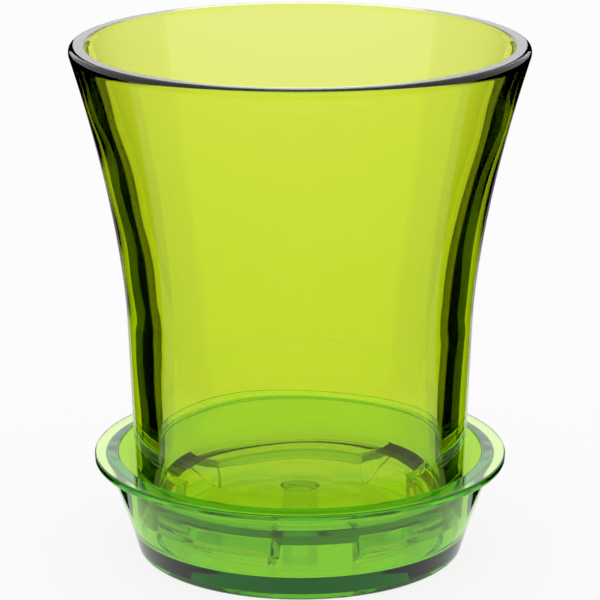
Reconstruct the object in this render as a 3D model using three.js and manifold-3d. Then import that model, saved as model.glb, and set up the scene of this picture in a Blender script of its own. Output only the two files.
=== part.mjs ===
// Transparent green flower pot standing in its own flanged saucer.
// Millimetres, +Z up. The origin is the centre of the saucer's underside,
// and -Y is the front, where one of the pot's drain notches points.
import * as THREE from "three";
import { mergeVertices } from "three/addons/utils/BufferGeometryUtils.js";
import Module from "manifold-3d";

const wasm = await Module();
wasm.setup();

// Overall sizes
const totalHeight = 151.2; // table to the pot's rim
const rimDiameter = 132; // outside of the pot's rim
const turnSegments = 72; // facets round every turned piece

// Pot wall: a slight cone up to the waist, then a flare that grows as a power of the height
const potWall = 6.8; // level thickness of the wall up to the waist
const lipWall = 4.8; // level thickness at the mouth, which the wall thins to evenly above the waist
const rimHeight = 5.5; // from the top down to where the rim runs out of the wall
const rimGrowth = 1; // radius gained over that height
const rimEdgeRadius = 2.2; // rounding of the rim's outer top edge
const mouthEdgeRadius = 0.9; // rounding of the rim's inner top edge
const mouthStraight = 2.2; // the mouth is upright for this far below the top
const flareDepth = 13.3; // how much the flare adds to the radius at the rim
const flarePower = 1.66;
const waistHeight = 70.5; // above the table, where the flare starts
const wallTaper = 0.038; // radius gained per millimetre of height by the cone
const wallSteps = 12;

// Pot bottom: flat heel, foot ring and raised floor
const heelLift = 6.3; // underside of the heel above the foot
const heelRadius = 1.2; // rounding of the heel edge
const footWidth = 2.2; // thickness of the ring that the pot stands on
const footInset = 11.5; // from the heel's outside in to the foot ring's outside
const floorLift = 9.7; // underside of the floor above the foot
const floorThickness = 2.8;
const floorFillet = 5.5; // inside, between floor and wall
const bossRadius = 5.2; // moulding boss under the middle of the floor
const bossLift = 0.4; // underside of the boss above the foot

// Drain notches, cut through the foot ring and heel up to the underside of the floor
const notchCount = 3;
const notchWidth = 21.6;
const notchTurn = 6.5; // degrees that the front notch is turned towards +X
const notchOverrun = 3; // how far the cutter passes the material

// Webs that stiffen the foot ring on both sides of every notch
const webThickness = 1.4;
const webOverlap = 1; // how far a web runs into the pieces that it joins

// Saucer, whose inner wall leans outwards just clear of the pot's heel
const saucerHeight = 30;
const saucerBase = 7; // thickness of the solid base
const saucerLean = 17.1; // of the inner wall from upright, in degrees
const saucerWallTop = 4.1; // level thickness under the flange
const saucerWallFoot = 3.2; // level thickness at the base
const saucerFillet = 2.6; // inside, between base and wall
const flangeWidth = 3.5;
const flangeThickness = 2.2;
const flangeEdgeRadius = 0.6;
const baseFlare = 2; // radius gained over the height of the base
const baseEdgeRadius = 1.4;
const recessDepth = 1.2; // hollow under the base
const recessInset = 5.5; // width of the ring that the saucer stands on

// Fit
const standGap = 0.3; // between the pot's foot and the saucer's base
const heelClearance = 0.4; // between the pot's heel and the saucer's inner wall, all round

// Derived places
const rimRadius = rimDiameter / 2;
const potFoot = saucerBase + standGap;
const heelHeight = potFoot + heelLift;
const floorUnder = potFoot + floorLift;
const floorTop = floorUnder + floorThickness;
const rimFoot = totalHeight - rimHeight;

const flareShare = (z) => Math.max(0, z - waistHeight) / (totalHeight - waistHeight);
const flareAt = (z) => flareDepth * flareShare(z) ** flarePower;
const coneRadius = rimRadius - rimGrowth - flareAt(rimFoot) - wallTaper * rimFoot;
const wallRadius = (z) => coneRadius + wallTaper * z + flareAt(z);
const innerRadius = (z) => wallRadius(z) - potWall + (potWall - lipWall) * flareShare(z);
const heelOutside = wallRadius(heelHeight);
const footOutside = heelOutside - footInset;
const footInside = footOutside - footWidth;

const point = (r, z) => new THREE.Vector2(r, z);

// Points of a round corner: centre, radius, start and end angle in degrees
function arc(r, z, radius, from, to, steps) {
  return Array.from({ length: steps + 1 }, (_, i) => {
    const a = THREE.MathUtils.degToRad(from + ((to - from) * i) / steps);
    return point(r + radius * Math.cos(a), z + radius * Math.sin(a));
  });
}

// Points of one face of the pot's wall between two heights
function wallLine(radiusAt, from, to) {
  return Array.from({ length: wallSteps + 1 }, (_, i) => {
    const z = from + ((to - from) * i) / wallSteps;
    return point(radiusAt(z), z);
  });
}

// A closed solid turned about +Z from an outline in radius and height
function turned(outline) {
  const geometry = new THREE.LatheGeometry(outline, turnSegments);
  geometry.rotateX(Math.PI / 2);
  return geometry;
}

// A manifold solid made from a closed geometry
function solidFrom(geometry) {
  const plain = geometry.clone();
  plain.deleteAttribute("normal");
  plain.deleteAttribute("uv");
  const merged = mergeVertices(plain, 1e-4);
  const index = Uint32Array.from(merged.index.array);
  const kept = [];
  for (let i = 0; i < index.length; i += 3) {
    const [a, b, c] = index.subarray(i, i + 3);
    if (a !== b && b !== c && c !== a) kept.push(a, b, c);
  }
  const mesh = new wasm.Mesh({
    numProp: 3,
    vertProperties: Float32Array.from(merged.attributes.position.array),
    triVerts: Uint32Array.from(kept),
  });
  return new wasm.Manifold(mesh);
}

// A drawable geometry made from a manifold solid
function geometryFrom(solid) {
  const mesh = solid.getMesh();
  const geometry = new THREE.BufferGeometry();
  geometry.setAttribute("position", new THREE.BufferAttribute(mesh.vertProperties, mesh.numProp));
  geometry.setIndex(new THREE.BufferAttribute(mesh.triVerts, 1));
  geometry.computeVertexNormals();
  return geometry;
}

// Outline of the pot, from the boss outwards, up the outside and down the inside
function potOutline() {
  const floorCorner = floorTop + floorFillet;
  const cornerRadius = innerRadius(floorCorner);
  const mouthFoot = totalHeight - mouthStraight;
  const mouthRadius = innerRadius(mouthFoot);
  return [
    point(0, potFoot + bossLift),
    point(bossRadius, potFoot + bossLift),
    point(bossRadius, floorUnder),
    point(footInside, floorUnder),
    point(footInside, potFoot),
    point(footOutside, potFoot),
    point(footOutside, heelHeight),
    ...arc(heelOutside - heelRadius, heelHeight + heelRadius, heelRadius, -90, 0, 5),
    ...wallLine(wallRadius, heelHeight + 2 * heelRadius, rimFoot),
    ...arc(rimRadius - rimEdgeRadius, totalHeight - rimEdgeRadius, rimEdgeRadius, -10, 90, 7),
    ...arc(mouthRadius + mouthEdgeRadius, totalHeight - mouthEdgeRadius, mouthEdgeRadius, 90, 180, 4),
    ...wallLine(innerRadius, mouthFoot, floorCorner),
    ...arc(cornerRadius - floorFillet, floorCorner, floorFillet, -10, -90, 6),
    point(0, floorTop),
  ];
}

// The block that cuts one drain notch, pointing along -Y
function notchCutter() {
  const reach = heelOutside + notchOverrun;
  const inner = footInside - notchOverrun;
  const depth = floorLift + notchOverrun;
  const geometry = new THREE.BoxGeometry(notchWidth, reach - inner, depth);
  geometry.translate(0, -(reach + inner) / 2, floorUnder - depth / 2);
  return geometry;
}

// The triangular web between foot ring and heel on one side of the notch that points along -Y
function web(side) {
  const shape = new THREE.Shape([
    point(footOutside - webOverlap, potFoot),
    point(footOutside, potFoot),
    point(heelOutside - heelRadius, heelHeight),
    point(heelOutside - heelRadius, heelHeight + webOverlap),
    point(footOutside - webOverlap, heelHeight + webOverlap),
  ]);
  const geometry = new THREE.ExtrudeGeometry(shape, { depth: webThickness, bevelEnabled: false });
  geometry.rotateX(Math.PI / 2);
  geometry.rotateZ(-Math.PI / 2);
  geometry.translate((side * (notchWidth + webThickness) + webThickness) / 2, 0, 0);
  return geometry;
}

function potGeometry() {
  let pot = solidFrom(turned(potOutline()));
  for (let i = 0; i < notchCount; i += 1) {
    const turn = THREE.MathUtils.degToRad(notchTurn + (360 * i) / notchCount);
    for (const added of [web(-1), web(1)]) pot = pot.add(solidFrom(added.rotateZ(turn)));
    pot = pot.subtract(solidFrom(notchCutter().rotateZ(turn)));
  }
  return geometryFrom(pot);
}

// Outline of the saucer, from the recess outwards, up the outside and down the inside
function saucerOutline() {
  const slope = Math.tan(THREE.MathUtils.degToRad(saucerLean));
  const insideAt = (z) => heelOutside + heelClearance + slope * (z - heelHeight);
  const under = saucerHeight - flangeThickness;
  const wallTop = insideAt(under) + saucerWallTop;
  const rim = wallTop + flangeWidth;
  const edge = flangeEdgeRadius;
  const waist = insideAt(saucerBase) + saucerWallFoot;
  const foot = waist - baseFlare;
  const filletTurn = THREE.MathUtils.degToRad((90 - saucerLean) / 2);
  const filletCentre = insideAt(saucerBase) - saucerFillet * Math.tan(filletTurn);
  return [
    point(0, recessDepth),
    point(foot - recessInset - recessDepth, recessDepth),
    point(foot - recessInset, 0),
    ...arc(foot - baseEdgeRadius, baseEdgeRadius, baseEdgeRadius, -90, -8, 5),
    point(waist, saucerBase),
    point(wallTop, under),
    ...arc(rim - edge, under + edge, edge, -90, 0, 3),
    ...arc(rim - edge, saucerHeight - edge, edge, 0, 90, 3),
    point(insideAt(saucerHeight), saucerHeight),
    ...arc(filletCentre, saucerBase + saucerFillet, saucerFillet, -saucerLean, -90, 5),
    point(0, saucerBase),
  ];
}

const greenPlastic = { color: 0x9ccc3a, roughness: 0.04, metalness: 0, transparent: true, opacity: 0.45 };

function piece(name, geometry) {
  const mesh = new THREE.Mesh(geometry, new THREE.MeshStandardMaterial(greenPlastic));
  mesh.name = name;
  return mesh;
}

const planter = new THREE.Group();
planter.add(piece("saucer", turned(saucerOutline())));
planter.add(piece("pot", potGeometry()));

export default planter;
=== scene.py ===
from math import cos, pi, radians, sin, tan

import bpy
import numpy as np
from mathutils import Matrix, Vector


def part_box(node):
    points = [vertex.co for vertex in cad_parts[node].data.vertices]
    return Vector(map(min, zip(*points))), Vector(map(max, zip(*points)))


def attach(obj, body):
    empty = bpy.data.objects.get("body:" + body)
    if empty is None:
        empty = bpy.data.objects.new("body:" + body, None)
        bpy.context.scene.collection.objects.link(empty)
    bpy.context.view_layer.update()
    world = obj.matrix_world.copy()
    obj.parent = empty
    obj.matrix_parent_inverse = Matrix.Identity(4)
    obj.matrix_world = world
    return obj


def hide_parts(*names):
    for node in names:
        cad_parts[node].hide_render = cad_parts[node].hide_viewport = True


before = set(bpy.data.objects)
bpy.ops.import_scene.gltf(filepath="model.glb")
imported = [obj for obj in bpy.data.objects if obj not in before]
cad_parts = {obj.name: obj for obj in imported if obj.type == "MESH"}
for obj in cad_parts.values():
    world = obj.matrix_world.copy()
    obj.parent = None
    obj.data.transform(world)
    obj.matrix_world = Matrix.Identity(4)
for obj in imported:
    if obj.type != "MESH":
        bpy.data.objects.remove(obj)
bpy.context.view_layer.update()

potLow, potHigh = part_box("pot")
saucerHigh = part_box("saucer")[1]

mm = 0.001

# What a user would change on the pot, in metres and degrees.
pot = dict(
    wall=6.8 * mm,            # level thickness up to the waist
    lip=4.8 * mm,             # level thickness at the mouth
    rimHeight=5.5 * mm,       # from the top down to where the rim runs out of the wall
    rimGrowth=1.0 * mm,       # radius gained over that height
    rimRound=2.2 * mm,        # from the top down to the widest place
    rimTurn=1.65 * mm,        # the outer top edge
    rimSet=0.2 * mm,          # the top edge stands in from the widest place
    rimSwell=3.0 * mm,        # the curve where the rim stops widening
    mouthRound=0.9 * mm,      # inner top edge
    mouthStraight=2.2 * mm,   # the mouth is upright for this far below the top
    mouthBend=1.5 * mm,       # the curve below that
    mouthReach=2.0 * mm,      # the rim's own points end this far under the upright part
    flareDepth=13.3 * mm,     # added to the radius at the rim
    flarePower=1.66,
    waistHeight=70.5 * mm,    # above the table
    taper=0.038,              # radius gained per height below the flare
    heelLift=6.3 * mm,
    heelRound=1.2 * mm,
    footWidth=2.2 * mm,
    footInset=11.5 * mm,
    footRound=0.5 * mm,
    footFillet=0.6 * mm,      # between foot ring and floor
    footClear=0.8 * mm,       # the ring's own points start this far inside it
    floorLift=9.7 * mm,
    floorThick=2.8 * mm,
    floorFillet=5.5 * mm,
    bossRadius=5.2 * mm,
    bossLift=0.4 * mm,
    bossRound=0.6 * mm,
    bossFillet=0.8 * mm,
    notches=3,
    notchWidth=21.6 * mm,
    notchTurn=6.5,
    notchRound=0.9,           # degrees over which a notch's side turns in
    notchSquare=8,            # the higher, the later a notch's flat roof rises to the wall
    notchFade=60,             # degrees from a notch's middle to where its bend has gone
    notchStart=18 * mm,       # the radius where that bend begins
    webThick=1.4 * mm,
    webSag=0.4 * mm,          # a web's edge is hollowed by this much
    webRound=0.5 * mm,
    overlap=1.0 * mm,         # neighbouring stretches of the outline meet this far past a corner
    waves=0.10 * mm,          # unevenness of the inner wall
    waveLong=9.0 * mm,
    waveShort=4.3 * mm,
    waveFloor=6.0 * mm,       # the waves start this far above the floor
    waveRise=12.0 * mm,       # and are full this much higher
    waveTop=5.0 * mm,         # they end this far below the top
    waveFall=18.0 * mm,       # and start to fade this much lower
    ripples=0.035 * mm,       # rings on the floor
    rippleWidth=1.9 * mm,
    rippleIn=8.0 * mm,
    rippleOut=34.0 * mm,
    rippleFade=6.0 * mm,
    gateRadius=2.6 * mm,      # torn stub under the boss
    gateDrop=0.3 * mm,
    gateEdge=0.7 * mm,
    gateMiddle=0.9 * mm,
)

# How finely the pieces are worked out.
grid = dict(
    planeStep=2.0,            # degrees between the pot's outlines
    edgePlanes=9,             # more of them at each edge of a notch or web
    edgeSpread=0.55,          # over this share of the edge's turn to either side
    saucerStep=1.0,
    wallRows=40,
    insideRows=64,
    floorRows=40,
    rimSpacing=0.5 * mm,
)

topHeight = potHigh[2]
footHeight = potLow[2]
rimRadius = (potHigh[0] - potLow[0]) / 2
heelHeight = footHeight + pot["heelLift"]
floorUnder = footHeight + pot["floorLift"]
floorTop = floorUnder + pot["floorThick"]
rimFoot = topHeight - pot["rimHeight"]


def flareShare(z):
    # nought up to the waist, one at the top
    return np.maximum(0, z - pot["waistHeight"]) / (topHeight - pot["waistHeight"])


def flareAt(z):
    # nothing below the waist, then a power of the height above it
    return pot["flareDepth"] * flareShare(z) ** pot["flarePower"]


coneRadius = rimRadius - pot["rimGrowth"] - flareAt(rimFoot) - pot["taper"] * rimFoot


def wallRadius(z):
    # a cone plus the flare
    return coneRadius + pot["taper"] * z + flareAt(z)


def smoothstep(t):
    t = np.clip(t, 0, 1)
    return t * t * (3 - 2 * t)


def innerRadius(z):
    # the wall thins evenly from the waist to the mouth
    return wallRadius(z) - pot["wall"] + (pot["wall"] - pot["lip"]) * flareShare(z)


def straight(a, b, count):
    # points from a to b, crowded towards both ends so that flats stay flat beside round edges
    t = np.linspace(0, 1, count + 1)
    t = (1 - np.cos(pi * t)) / 2
    return np.outer(1 - t, a) + np.outer(t, b)


def rounded(corners, spacing=1.2 * mm, fixed=None):
    # a polyline whose corners, given as (radius, height, round), become arcs tangent to both sides;
    # fixed says how many steps each stretch and each arc get, so that two outlines match point by point
    corners = np.array(corners, float)
    ends, arcs = [corners[0, :2]], []
    for before, here, after in zip(corners[:-2], corners[1:-1], corners[2:]):
        p, r = here[:2], here[2]
        u = (before[:2] - p) / np.linalg.norm(before[:2] - p)
        v = (after[:2] - p) / np.linalg.norm(after[:2] - p)
        half = np.arccos(np.clip(u @ v, -1, 1)) / 2
        reach = r / np.tan(half)
        bisect = (u + v) / np.linalg.norm(u + v)
        centre = p + bisect * r / np.sin(half)
        start, stop = p + u * reach - centre, p + v * reach - centre
        sweep = pi - 2 * half
        sign = 1 if start[0] * stop[1] - start[1] * stop[0] > 0 else -1
        steps = fixed[1] if fixed else max(4, int(np.ceil(np.degrees(sweep) / 9)))
        a = sign * np.linspace(0, sweep, steps + 1)
        arcs.append(np.stack([centre[0] + start[0] * np.cos(a) - start[1] * np.sin(a),
                              centre[1] + start[0] * np.sin(a) + start[1] * np.cos(a)], 1))
    line, here = [], ends[0]
    for arc in arcs + [corners[-1:, :2]]:
        count = fixed[0] if fixed else int(np.clip(np.linalg.norm(arc[0] - here) / spacing, 5, 14))
        line.append(straight(here, arc[0], count)[:-1])
        line.append(arc[:-1] if len(arc) > 1 else arc)
        here = arc[-1]
    return np.concatenate(line)


def turned(name, lines, angles):
    # rings of points: line i is the outline, radius and height, in the plane at angle i
    lines = np.asarray(lines)
    radius, height = lines[:, 1:-1, 0], lines[:, 1:-1, 1]
    count, rows = radius.shape
    angles = np.broadcast_to(angles if np.ndim(angles) == 2 else angles[:, None], lines.shape[:2])[:, 1:-1]
    ring = np.stack([radius * np.sin(angles), -radius * np.cos(angles), height], 2)
    poles = np.array([[0, 0, lines[0, 0, 1]], [0, 0, lines[0, -1, 1]]])
    points = np.concatenate([ring.reshape(-1, 3), poles])
    i = np.arange(count)
    j = (i + 1) % count
    k = np.arange(rows - 1)
    a, b = (i[:, None] * rows + k).ravel(), (j[:, None] * rows + k).ravel()
    quads = np.stack([a, b, b + 1, a + 1], 1)
    first, last = len(points) - 2, len(points) - 1
    caps = np.concatenate([np.stack([np.full(count, first), j * rows, i * rows], 1),
                           np.stack([np.full(count, last), i * rows + rows - 1, j * rows + rows - 1], 1)])
    mesh = bpy.data.meshes.new(name)
    mesh.from_pydata(points.tolist(), [], quads.tolist() + caps.tolist())
    mesh.validate()
    mesh.update()
    mesh.shade_smooth()
    piece = bpy.data.objects.new(name, mesh)
    bpy.context.scene.collection.objects.link(piece)
    print(name, len(points), "points", len(quads) * 2 + len(caps), "triangles")
    return piece


def potLine(webbed):
    # the pot's outline from the boss outwards, up the outside, over the rim and down the inside;
    # also says which of its points belong to the ring that the notches cut, and how many are inside
    heelRadius = wallRadius(heelHeight)
    outside = heelRadius - pot["footInset"]
    inside = outside - pot["footWidth"]
    low = footHeight + pot["bossLift"]
    start = (inside - pot["footClear"], floorUnder, 0)
    under = rounded([(0, low, 0), (pot["bossRadius"], low, pot["bossRound"]),
                     (pot["bossRadius"], floorUnder, pot["bossFillet"]), start])
    # a web fills the corner between foot ring and heel, so that corner lies just off the line between them
    between = ((outside + heelRadius) / 2, (footHeight + heelHeight) / 2 + pot["webSag"])
    inward = between if webbed else (outside, heelHeight)
    wallFoot = floorUnder + pot["overlap"]
    ring = rounded([start, (inside, floorUnder, pot["footFillet"]),
                    (inside, footHeight, pot["footRound"]), (outside, footHeight, pot["footRound"]),
                    (*inward, pot["webRound"]), (heelRadius, heelHeight, pot["heelRound"]),
                    (wallRadius(wallFoot), wallFoot, 0)], fixed=(6, 5))
    z = np.linspace(wallFoot, rimFoot, grid["wallRows"])
    wall = np.stack([wallRadius(z), z], 1)
    shoulder = topHeight - pot["rimRound"]
    mouthFoot = topHeight - pot["mouthStraight"]
    mouth = innerRadius(mouthFoot)
    below = mouthFoot - pot["mouthReach"]
    rim = rounded([(wallRadius(rimFoot), rimFoot, 0), (rimRadius, shoulder, pot["rimSwell"]),
                   (rimRadius - pot["rimSet"], topHeight, pot["rimTurn"]),
                   (mouth, topHeight, pot["mouthRound"]), (mouth, mouthFoot, pot["mouthBend"]),
                   (innerRadius(below), below, 0)], spacing=grid["rimSpacing"])
    corner = floorTop + pot["floorFillet"]
    above = corner + pot["overlap"]
    z = np.linspace(below, above, grid["insideRows"])
    inner = np.stack([innerRadius(z), z], 1)
    cornerRadius = innerRadius(corner)
    level = cornerRadius - pot["floorFillet"] - pot["overlap"]
    bend = rounded([(innerRadius(above), above, 0), (cornerRadius, floorTop, pot["floorFillet"]),
                    (level, floorTop, 0)])
    across = np.linspace(level, 0, grid["floorRows"])
    floor = np.stack([across, np.full(len(across), floorTop)], 1)
    line = np.concatenate([under[:-1], ring[:-1], wall[:-1], rim[:-1], inner[:-1], bend[:-1], floor])
    first = len(under) - 1
    return line, slice(first, first + len(ring)), len(inner) + len(bend) + len(floor) - 2


def notchPlanes(half, web):
    # the angles of the planes: evenly spaced, and closer where a notch's side turns in or a web ends;
    # also each plane's angle from the middle of the nearest notch
    spread = pot["notchRound"] * np.linspace(-grid["edgeSpread"], grid["edgeSpread"], grid["edgePlanes"])
    extra = np.concatenate([half + spread, web + spread])
    centres = pot["notchTurn"] + np.arange(pot["notches"]) * 360 / pot["notches"]
    edges = (centres[:, None] + np.concatenate([extra, -extra])).ravel()
    even = np.arange(0, 360, grid["planeStep"])
    angles = np.unique(np.round(np.concatenate([even, edges % 360]), 4))
    near = np.abs((angles[:, None] - centres + 180) % 360 - 180).argmin(1)
    return angles, (angles - centres[near] + 180) % 360 - 180


def notchRoof(part):
    # each point of the ring goes to its share of the way along the notch's flat roof
    walked = np.concatenate([[0], np.cumsum(np.linalg.norm(np.diff(part, axis=0), axis=1))])
    share = (walked / walked[-1])[:, None]
    roof = part[0] * (1 - share) + part[-1] * share
    roof[:, 1] = part[0, 1] + (part[-1, 1] - part[0, 1]) * share[:, 0] ** pot["notchSquare"]
    return roof


def notchBend(radius, off, web, inner, outer):
    # a notch's sides are parallel: a plane that leaves the axis at the angle a where it crosses the heel
    # bends so that its distance from the notch's middle stays the same, and this fades between the notches
    a = np.minimum(np.abs(off), web)[:, None]
    bend = np.degrees(np.arcsin(outer * np.sin(np.radians(a)) / np.clip(radius, inner, outer))) - a
    bend *= np.clip((pot["notchFade"] - np.abs(off)) / (pot["notchFade"] - web), 0, 1)[:, None]
    return bend * smoothstep((radius - pot["notchStart"]) / (inner - pot["notchStart"]))


def wallWaves(z, around):
    # moulded walls are never quite even: a sum of long shallow sines, nought near the floor and the top
    rise = smoothstep((z - floorTop - pot["waveFloor"]) / pot["waveRise"])
    fall = smoothstep((topHeight - pot["waveTop"] - z) / pot["waveFall"])
    wave = (np.sin(z / pot["waveLong"] + 1.3 * np.sin(2 * around)) * 0.6
            + np.sin(z / pot["waveShort"] + 3 * around) * 0.25 + np.sin(3 * around + 1.7) * 0.5)
    return rise * fall * wave * pot["waves"]


def floorRings(radius):
    # faint rings left by turning the mould: a sine of the radius, nought at the middle and the edge
    rise = smoothstep(radius / pot["rippleIn"])
    fall = smoothstep((pot["rippleOut"] - radius) / pot["rippleFade"])
    return np.sin(radius / pot["rippleWidth"]) * rise * fall * pot["ripples"]


def gateStub(radius, around):
    # the torn stub of the gate: a low ring whose depth is a sum of sines of the angle
    torn = 0.5 + 0.3 * np.sin(5 * around + 0.4) + 0.2 * np.sin(11 * around)
    edge = smoothstep((pot["gateRadius"] - radius) / pot["gateEdge"])
    return torn * edge * smoothstep(radius / pot["gateMiddle"]) * pot["gateDrop"]


def buildPot():
    plain, ring, insideCount = potLine(False)
    webbed = potLine(True)[0]
    heelRadius = wallRadius(heelHeight)
    soft = pot["notchRound"]
    half = np.degrees(np.arcsin(pot["notchWidth"] / 2 / heelRadius))
    web = half + soft + np.degrees(pot["webThick"] / heelRadius)
    angles, off = notchPlanes(half, web)
    lines = np.repeat(plain[None], len(angles), 0)
    fill = smoothstep((web + soft / 2 - np.abs(off)) / soft)[:, None, None]
    lines[:, ring] += fill * (webbed[ring] - plain[ring])
    cut = smoothstep((half + soft / 2 - np.abs(off)) / soft)[:, None, None]
    lines[:, ring] += cut * (notchRoof(plain[ring]) - lines[:, ring])
    radius, z = lines[:, :, 0], lines[:, :, 1]
    bend = notchBend(radius, off, web, plain[ring][0, 0], heelRadius)
    bend[:, ring.stop:] = 0
    turn = np.radians(angles[:, None] + np.sign(off)[:, None] * bend)
    around = np.broadcast_to(np.radians(angles)[:, None], radius.shape)
    inside = np.zeros(radius.shape, bool)
    inside[:, -insideCount:] = True
    # radius and z are views of the outlines, so these lines change the outlines themselves
    radius += inside * wallWaves(z, around)
    z += inside * (z < floorTop + 0.01 * mm) * floorRings(radius)
    stub = gateStub(radius, around)
    stub[:, ring.start:] = 0
    z -= stub
    return turned("potShell", lines, turn)


# What a user would change on the saucer, in metres and degrees.
saucer = dict(
    base=7.0 * mm,
    lean=17.1,
    wallTop=4.1 * mm,
    wallFoot=3.2 * mm,
    fillet=2.6 * mm,
    flangeWidth=3.5 * mm,
    flangeThick=2.2 * mm,
    flangeRound=0.6 * mm,
    mouthRound=0.9 * mm,      # between flange and inner wall
    baseFlare=2.0 * mm,
    baseRound=1.4 * mm,
    recessDepth=1.2 * mm,
    recessInset=5.5 * mm,
    recessRound=0.5 * mm,
    ringRound=0.4 * mm,       # the inner edge of the ring that it stands on
    waistRound=0.4 * mm,      # where base and wall meet outside
    flangeFillet=0.5 * mm,    # under the flange
    clearance=0.4 * mm,       # to the pot's heel
)


def buildSaucer():
    slope = tan(radians(saucer["lean"]))

    def inside(z):
        return wallRadius(heelHeight) + saucer["clearance"] + slope * (z - heelHeight)

    top = saucerHigh[2]
    under = top - saucer["flangeThick"]
    wallTop = inside(under) + saucer["wallTop"]
    rim = wallTop + saucer["flangeWidth"]
    waist = inside(saucer["base"]) + saucer["wallFoot"]
    foot = waist - saucer["baseFlare"]
    ringIn = foot - saucer["recessInset"]
    # the recess's side leans at 45 degrees
    recess = (ringIn - saucer["recessDepth"], saucer["recessDepth"], saucer["recessRound"])
    line = rounded([(0, saucer["recessDepth"], 0), recess, (ringIn, 0, saucer["ringRound"]),
                    (foot, 0, saucer["baseRound"]), (waist, saucer["base"], saucer["waistRound"]),
                    (wallTop, under, saucer["flangeFillet"]), (rim, under, saucer["flangeRound"]),
                    (rim, top, saucer["flangeRound"]), (inside(top), top, saucer["mouthRound"]),
                    (inside(saucer["base"]), saucer["base"], saucer["fillet"]), (0, saucer["base"], 0)])
    angles = np.radians(np.arange(0, 360, grid["saucerStep"]))
    return turned("saucerShell", np.repeat(line[None], len(angles), 0), angles)


# The clear dyed plastic: how much of each colour a metre takes off, and its polish.
plastic = dict(
    ior=1.5,
    takes=dict(pot=(36.0, 18.0, 310.0), saucer=(120.0, 24.0, 420.0)),
    smooth=0.0,
    hazy=0.05,                # roughness in the marks of wear
    wearFrom=0.62,            # the share of the noise where the marks begin
    wearFull=0.8,
    grain=260,
    grainDetail=3,
    grainLong=0.25,           # below one, the marks are drawn out upwards
    skinCoarse=4,             # the skin's noise is this many times larger than the marks
    bump=0.02,
    bumpHeight=0.2 * mm,
)


def clearPlastic(node):
    material = bpy.data.materials.new("greenClear_" + node)
    material.use_nodes = True
    nodes, links = material.node_tree.nodes, material.node_tree.links
    shader = nodes["Principled BSDF"]
    shader.inputs["Base Color"].default_value = (1, 1, 1, 1)
    shader.inputs["IOR"].default_value = plastic["ior"]
    shader.inputs["Transmission Weight"].default_value = 1
    # long fine marks of wear, and a skin that is not quite even
    place = nodes.new("ShaderNodeTexCoord")
    stretch = nodes.new("ShaderNodeMapping")
    stretch.inputs["Scale"].default_value = (1, 1, plastic["grainLong"])
    marks = nodes.new("ShaderNodeTexNoise")
    marks.inputs["Scale"].default_value = plastic["grain"]
    marks.inputs["Detail"].default_value = plastic["grainDetail"]
    polish = nodes.new("ShaderNodeMapRange")
    polish.inputs["From Min"].default_value = plastic["wearFrom"]
    polish.inputs["From Max"].default_value = plastic["wearFull"]
    polish.inputs["To Min"].default_value = plastic["smooth"]
    polish.inputs["To Max"].default_value = plastic["hazy"]
    skin = nodes.new("ShaderNodeTexNoise")
    skin.inputs["Scale"].default_value = plastic["grain"] / plastic["skinCoarse"]
    bump = nodes.new("ShaderNodeBump")
    bump.inputs["Strength"].default_value = plastic["bump"]
    bump.inputs["Distance"].default_value = plastic["bumpHeight"]
    links.new(place.outputs["Object"], stretch.inputs["Vector"])
    links.new(stretch.outputs["Vector"], marks.inputs["Vector"])
    links.new(marks.outputs["Fac"], polish.inputs["Value"])
    links.new(polish.outputs["Result"], shader.inputs["Roughness"])
    links.new(place.outputs["Object"], skin.inputs["Vector"])
    links.new(skin.outputs["Fac"], bump.inputs["Height"])
    links.new(bump.outputs["Normal"], shader.inputs["Normal"])
    volume = nodes.new("ShaderNodeVolumeAbsorption")
    takes = plastic["takes"][node]
    most = max(takes)
    volume.inputs["Color"].default_value = (*[1 - t / most for t in takes], 1)
    volume.inputs["Density"].default_value = most
    links.new(volume.outputs["Volume"], nodes["Material Output"].inputs["Volume"])
    return material


potShell = buildPot()
saucerShell = buildSaucer()
for piece, node in ((potShell, "pot"), (saucerShell, "saucer")):
    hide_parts(node)
    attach(piece, node)
    piece.data.materials.append(clearPlastic(node))

# The camera: its heading along +Y, its drop, its distance from a point on the pot's axis, and its lens.
view = dict(lens=183.6, drop=16.157, distance=0.8934, aim=70 * mm, shift=0.02766667)
camera = bpy.data.objects.new("camera", bpy.data.cameras.new("camera"))
bpy.context.scene.collection.objects.link(camera)
camera.data.lens = view["lens"]
camera.data.sensor_width = 36
camera.data.clip_start = 0.01
drop = radians(view["drop"])
camera.location = Vector((0, -cos(drop), sin(drop))) * view["distance"] + Vector((0, 0, view["aim"]))
camera.rotation_euler = (pi / 2 - drop, 0, 0)
camera.data.shift_y = view["shift"]
bpy.context.scene.camera = camera

# A white room: the floor, a bright world, and two dark boards that open behind the object like a V.
# Only glossy and clear surfaces see the boards. They turn with the camera's heading, as a studio's
# boards are moved round an object, so that every side is lit alike.
studio = dict(
    worldLight=0.82,
    floorSide=6.0,
    floorShade=0.95,
    glowSeen=0.85,            # how evenly lit the floor is to the camera
    glowElsewhere=0.7,        # and to everything else
    # the mirrored ring carries painted shade: pale up to the near distance, grey from the far one
    mirrorNear=0.12,          # the mirrored ring is pale up to here
    mirrorFar=0.34,           # and grey from here
    mirrorShade=0.25,
    mirrorInside=0.08,
    mirrorReach=4,
    mirrorLift=0.0006,
    mirrorSides=64,
    softLight=1.6,
    softSide=2.5,
    softBack=4,
    softLow=0.6,
    softHigh=2.6,
    boardMouth=0.069,
    boardBack=0.03,
    flagMouth=0.062,
    flagBack=0.01,
    flagReach=4,
    cardLift=0.001,
    lean=20.0,
    long=3.0,
    tall=1.6,
)


def stagePlane(name, corners, material):
    mesh = bpy.data.meshes.new(name)
    mesh.from_pydata(corners, [], [(0, 1, 2, 3)])
    mesh.materials.append(material)
    plane = bpy.data.objects.new(name, mesh)
    bpy.context.scene.collection.objects.link(plane)
    return plane


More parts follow.
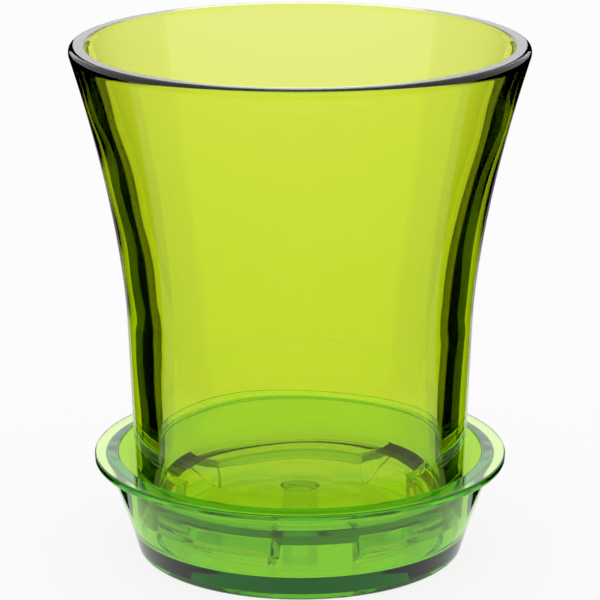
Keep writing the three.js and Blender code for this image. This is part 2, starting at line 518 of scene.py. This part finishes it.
def plainMaterial(name, colour):
    material = bpy.data.materials.new(name)
    material.use_nodes = True
    shader = material.node_tree.nodes["Principled BSDF"]
    shader.inputs["Base Color"].default_value = (*colour, 1)
    shader.inputs["Roughness"].default_value = 1
    shader.inputs["Specular IOR Level"].default_value = 0
    return material


def floorMaterial():
    # a pale floor: the camera sees it nearly evenly lit, everything else sees more of its shading
    material = plainMaterial("paleFloor", (studio["floorShade"],) * 3)
    nodes, links = material.node_tree.nodes, material.node_tree.links
    glow = nodes.new("ShaderNodeEmission")
    path = nodes.new("ShaderNodeLightPath")
    share = nodes.new("ShaderNodeMapRange")
    share.inputs["To Min"].default_value = studio["glowElsewhere"]
    share.inputs["To Max"].default_value = studio["glowSeen"]
    mix = nodes.new("ShaderNodeMixShader")
    links.new(path.outputs["Is Camera Ray"], share.inputs["Value"])
    links.new(share.outputs["Result"], mix.inputs["Fac"])
    links.new(nodes["Principled BSDF"].outputs["BSDF"], mix.inputs[1])
    links.new(glow.outputs["Emission"], mix.inputs[2])
    links.new(mix.outputs["Shader"], nodes["Material Output"].inputs["Surface"])
    return material


def paintedReflectionShade():
    # painted shade for mirrored light: pale within the near distance from the object's axis, falling to a
    # grey at the far one
    material = plainMaterial("paintedReflectionShade", (1, 1, 1))
    nodes, links = material.node_tree.nodes, material.node_tree.links
    place = nodes.new("ShaderNodeTexCoord")
    length = nodes.new("ShaderNodeVectorMath")
    length.operation = "LENGTH"
    fade = nodes.new("ShaderNodeMapRange")
    fade.inputs["From Min"].default_value = studio["mirrorNear"]
    fade.inputs["From Max"].default_value = studio["mirrorFar"]
    fade.inputs["To Min"].default_value = studio["floorShade"]
    fade.inputs["To Max"].default_value = studio["mirrorShade"]
    links.new(place.outputs["Object"], length.inputs[0])
    links.new(length.outputs["Value"], fade.inputs["Value"])
    links.new(fade.outputs["Result"], nodes["Principled BSDF"].inputs["Base Color"])
    return material


def glowing(name, light):
    material = bpy.data.materials.new(name)
    material.use_nodes = True
    nodes, links = material.node_tree.nodes, material.node_tree.links
    nodes.remove(nodes["Principled BSDF"])
    glow = nodes.new("ShaderNodeEmission")
    glow.inputs["Strength"].default_value = light
    links.new(glow.outputs["Emission"], nodes["Material Output"].inputs["Surface"])
    return material


side = studio["floorSide"]
corners = [(-side, -side, 0), (side, -side, 0), (side, side, 0), (-side, side, 0)]
stagePlane("floor", corners, floorMaterial())
turntable = bpy.data.objects.new("turntable", None)
scene = bpy.context.scene
scene.collection.objects.link(turntable)
heading = turntable.constraints.new("COPY_ROTATION")
heading.target = camera
heading.use_x = False
heading.use_y = False
dark = plainMaterial("darkBoard", (0, 0, 0))
lift, tall, reach = studio["cardLift"], studio["tall"], studio["flagReach"]
out, back = studio["long"] * sin(radians(studio["lean"])), studio["long"] * cos(radians(studio["lean"]))
for way in (-1, 1):
    hand = "Left" if way < 0 else "Right"
    x, y = studio["boardMouth"], studio["boardBack"]
    board = stagePlane("board" + hand, [(way * x, y, lift), (way * (x + out), y + back, lift),
                                        (way * (x + out), y + back, tall), (way * x, y, tall)], dark)
    x, y = studio["flagMouth"], studio["flagBack"]
    flag = stagePlane("flag" + hand, [(way * x, y, lift), (way * (x + out), y + back, lift),
                                      (way * reach, y + back, lift), (way * reach, y, lift)], dark)
    for card in (board, flag):
        card.parent = turntable
        card.visible_camera = False
        card.visible_diffuse = False
        card.visible_shadow = False

x, y, low, high = studio["softSide"], studio["softBack"], studio["softLow"], studio["softHigh"]
lamp = stagePlane("softboxBack", [(-x, y, low), (x, y, low), (x, y, high), (-x, y, high)],
                  glowing("softLight", studio["softLight"]))
lamp.parent = turntable
lamp.visible_camera = False
lamp.visible_transmission = False
# a ring on the floor, for mirrored light only, painted with shade that grows darker away from the object
count, near, far = studio["mirrorSides"], studio["mirrorInside"], studio["mirrorReach"]
steps = np.linspace(0, 2 * pi, count + 1)[:-1]
edge = np.stack([np.sin(steps), -np.cos(steps), np.full(count, studio["mirrorLift"])], 1)
points = np.concatenate([edge * (near, near, 1), edge * (far, far, 1)]).tolist()
faces = [(i, count + i, count + (i + 1) % count, (i + 1) % count) for i in range(count)]
mesh = bpy.data.meshes.new("paintedShadeRing")
mesh.from_pydata(points, [], faces)
mesh.materials.append(paintedReflectionShade())
ring = bpy.data.objects.new("paintedShadeRing", mesh)
scene.collection.objects.link(ring)
ring.visible_camera = False
ring.visible_diffuse = False
ring.visible_transmission = False
ring.visible_shadow = False
world = bpy.data.worlds.new("world")
scene.world = world
world.use_nodes = True
world.node_tree.nodes["Background"].inputs["Color"].default_value = (1, 1, 1, 1)
world.node_tree.nodes["Background"].inputs["Strength"].default_value = studio["worldLight"]

scene.view_settings.view_transform = "Standard"
scene.cycles.max_bounces = 24
scene.cycles.transmission_bounces = 24
scene.cycles.glossy_bounces = 12
scene.cycles.transparent_max_bounces = 24
scene.cycles.volume_bounces = 0
print("studio ready")
